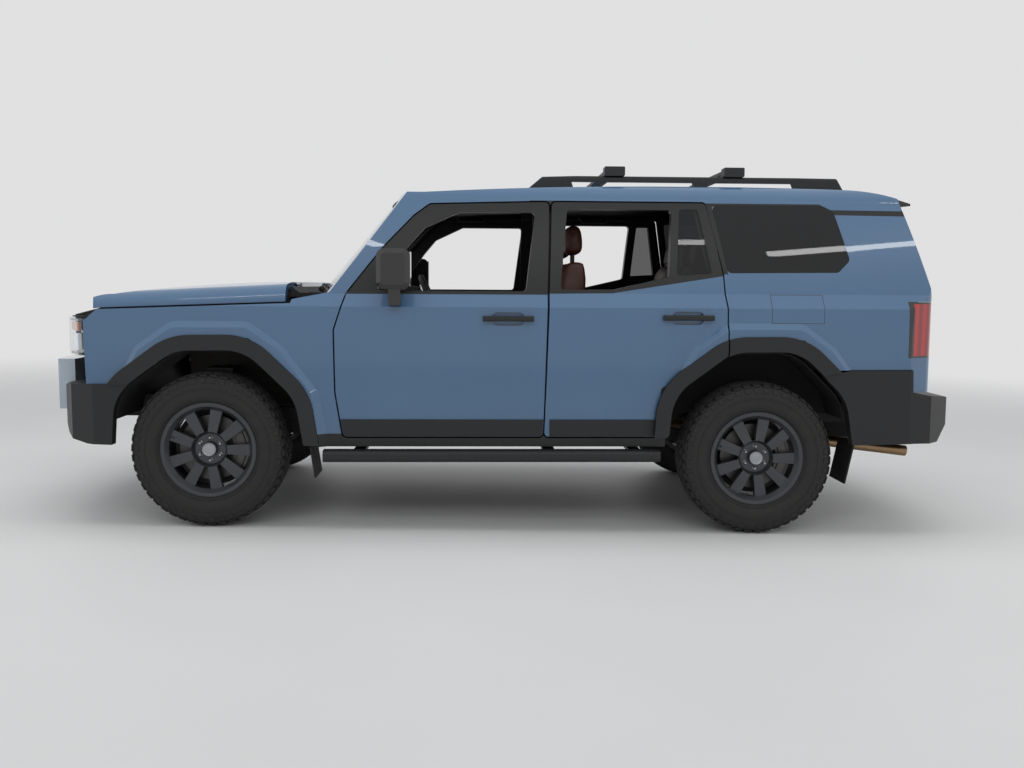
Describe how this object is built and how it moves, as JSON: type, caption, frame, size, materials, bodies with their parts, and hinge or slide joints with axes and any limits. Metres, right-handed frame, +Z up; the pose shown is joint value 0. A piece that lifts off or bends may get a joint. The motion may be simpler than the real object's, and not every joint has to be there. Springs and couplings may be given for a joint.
{
  "type": "sport utility vehicle",
  "caption": "Five-door sport utility vehicle on a ladder frame, with hinged doors, hood and tailgate, steered front wheels, roof rails, cross bars and side steps.",
  "frame": {"origin": "on the ground under the middle of the overall length", "axes": "+X to the front, +Y to the vehicle's left, +Z up"},
  "size_m": [4.928, 2.2, 1.9339],
  "materials": {
    "paint": "gloss mid-blue enamel under a clear coat",
    "silver": "light silver-blue paint",
    "black_trim": "satin black grained plastic",
    "gloss_black": "gloss black plastic",
    "tinted_glass": "dark tinted glass",
    "clear_glass": "clear glass",
    "lamp_clear": "clear lamp lens over a bright bowl",
    "lamp_red": "red lamp lens",
    "tyre": "black tyre rubber",
    "rim": "gunmetal painted alloy",
    "chassis": "black chassis paint",
    "cast": "bare cast metal",
    "exhaust_steel": "heat-tanned steel",
    "liner": "matt black liner",
    "leather": "brown leather",
    "cabin": "dark soft-touch plastic",
    "carpet": "dark carpet"
  },
  "bodies": {
    "body": {"side_frames": "paint", "quarter_panels": "paint", "quarter_glass": "tinted_glass", "tail_lamps": "lamp_red", "roof_panel": "paint", "windscreen": "clear_glass", "arch_flares": "black_trim", "fenders": "paint", "cowl": "black_trim", "headlamps": "lamp_clear", "grille": "black_trim", "front_bumper": "black_trim", "bumper_insert": "silver", "rear_bumper": "black_trim", "ladder_frame": "chassis", "floor_pan": "carpet", "wheel_liners": "liner", "radiator_support": "chassis", "powertrain": "cast", "fuel_tank": "liner", "exhaust": "exhaust_steel", "side_steps": "black_trim", "mud_flaps": "liner", "roof_rails": "black_trim", "cross_bars": "black_trim", "front_seats": "leather", "rear_bench": "leather", "dashboard": "cabin", "front_suspension": "chassis", "rear_axle": "chassis", "spare_wheel": "tyre"},
    "door_front_left": {"door_front_left": "paint", "door_trim_front_left": "black_trim", "mirror_left": "gloss_black"},
    "door_rear_left": {"door_rear_left": "paint", "door_trim_rear_left": "black_trim", "door_glass_left": "tinted_glass"},
    "door_front_right": {"door_front_right": "paint", "door_trim_front_right": "black_trim", "mirror_right": "gloss_black"},
    "door_rear_right": {"door_rear_right": "paint", "door_trim_rear_right": "black_trim", "door_glass_right": "tinted_glass"},
    "hood": {"hood": "paint"},
    "tailgate": {"tailgate": "paint", "tailgate_glass": "tinted_glass", "spoiler": "gloss_black"},
    "knuckle_left": {"knuckle_left": "cast"},
    "knuckle_right": {"knuckle_right": "cast"},
    "wheel_front_left": {"tyre_front_left": "tyre", "rim_front_left": "rim"},
    "wheel_front_right": {"tyre_front_right": "tyre", "rim_front_right": "rim"},
    "wheel_rear_left": {"tyre_rear_left": "tyre", "rim_rear_left": "rim"},
    "wheel_rear_right": {"tyre_rear_right": "tyre", "rim_rear_right": "rim"},
    "steering_wheel": {"steering_wheel": "cabin"}
  },
  "joints": [
    {"name": "door_front_left_hinge", "type": "hinge", "parent": "body", "child": "door_front_left", "pos_m": [0.81897, 0.934, 0.90631], "axis": [-0.0157, 0, -0.9999], "range_deg": [0, 68]},
    {"name": "door_rear_left_hinge", "type": "hinge", "parent": "body", "child": "door_rear_left", "pos_m": [-0.2749, 0.934, 0.92349], "axis": [-0.0157, 0, -0.9999], "range_deg": [0, 68]},
    {"name": "door_front_right_hinge", "type": "hinge", "parent": "body", "child": "door_front_right", "pos_m": [0.81897, -0.934, 0.90631], "axis": [0.0157, 0, 0.9999], "range_deg": [0, 68]},
    {"name": "door_rear_right_hinge", "type": "hinge", "parent": "body", "child": "door_rear_right", "pos_m": [-0.2749, -0.934, 0.92349], "axis": [0.0157, 0, 0.9999], "range_deg": [0, 68]},
    {"name": "hood_hinge", "type": "hinge", "parent": "body", "child": "hood", "pos_m": [1.1355, 0, 1.25638], "axis": [0, -1, 0], "range_deg": [0, 60]},
    {"name": "tailgate_hinge", "type": "hinge", "parent": "body", "child": "tailgate", "pos_m": [-1.99344, 0, 1.79359], "axis": [0, 1, 0], "range_deg": [0, 85]},
    {"name": "steering_left", "type": "hinge", "parent": "body", "child": "knuckle_left", "pos_m": [1.53182, 0.77, 0.4], "axis": [0, 0, 1], "range_deg": [-33, 33]},
    {"name": "steering_right", "type": "hinge", "parent": "body", "child": "knuckle_right", "pos_m": [1.53182, -0.77, 0.4], "axis": [0, 0, 1], "range_deg": [-33, 33]},
    {"name": "wheel_front_left_spin", "type": "hinge", "parent": "knuckle_left", "child": "wheel_front_left", "pos_m": [1.53182, 0.834, 0.4], "axis": [0, 1, 0], "continuous": true},
    {"name": "wheel_front_right_spin", "type": "hinge", "parent": "knuckle_right", "child": "wheel_front_right", "pos_m": [1.53182, -0.834, 0.4], "axis": [0, 1, 0], "continuous": true},
    {"name": "wheel_rear_left_spin", "type": "hinge", "parent": "body", "child": "wheel_rear_left", "pos_m": [-1.31818, 0.834, 0.4], "axis": [0, 1, 0], "continuous": true},
    {"name": "wheel_rear_right_spin", "type": "hinge", "parent": "body", "child": "wheel_rear_right", "pos_m": [-1.31818, -0.834, 0.4], "axis": [0, 1, 0], "continuous": true},
    {"name": "steering_wheel_turn", "type": "hinge", "parent": "body", "child": "steering_wheel", "pos_m": [0.40987, 0.372, 1.15777], "axis": [-0.907, 0, 0.421], "range_deg": [-470, 470]}
  ],
  "couplings": [
    {"joint": "steering_right", "follows": "steering_left", "ratio": 1},
    {"joint": "steering_wheel_turn", "follows": "steering_left", "ratio": 14}
  ]
}
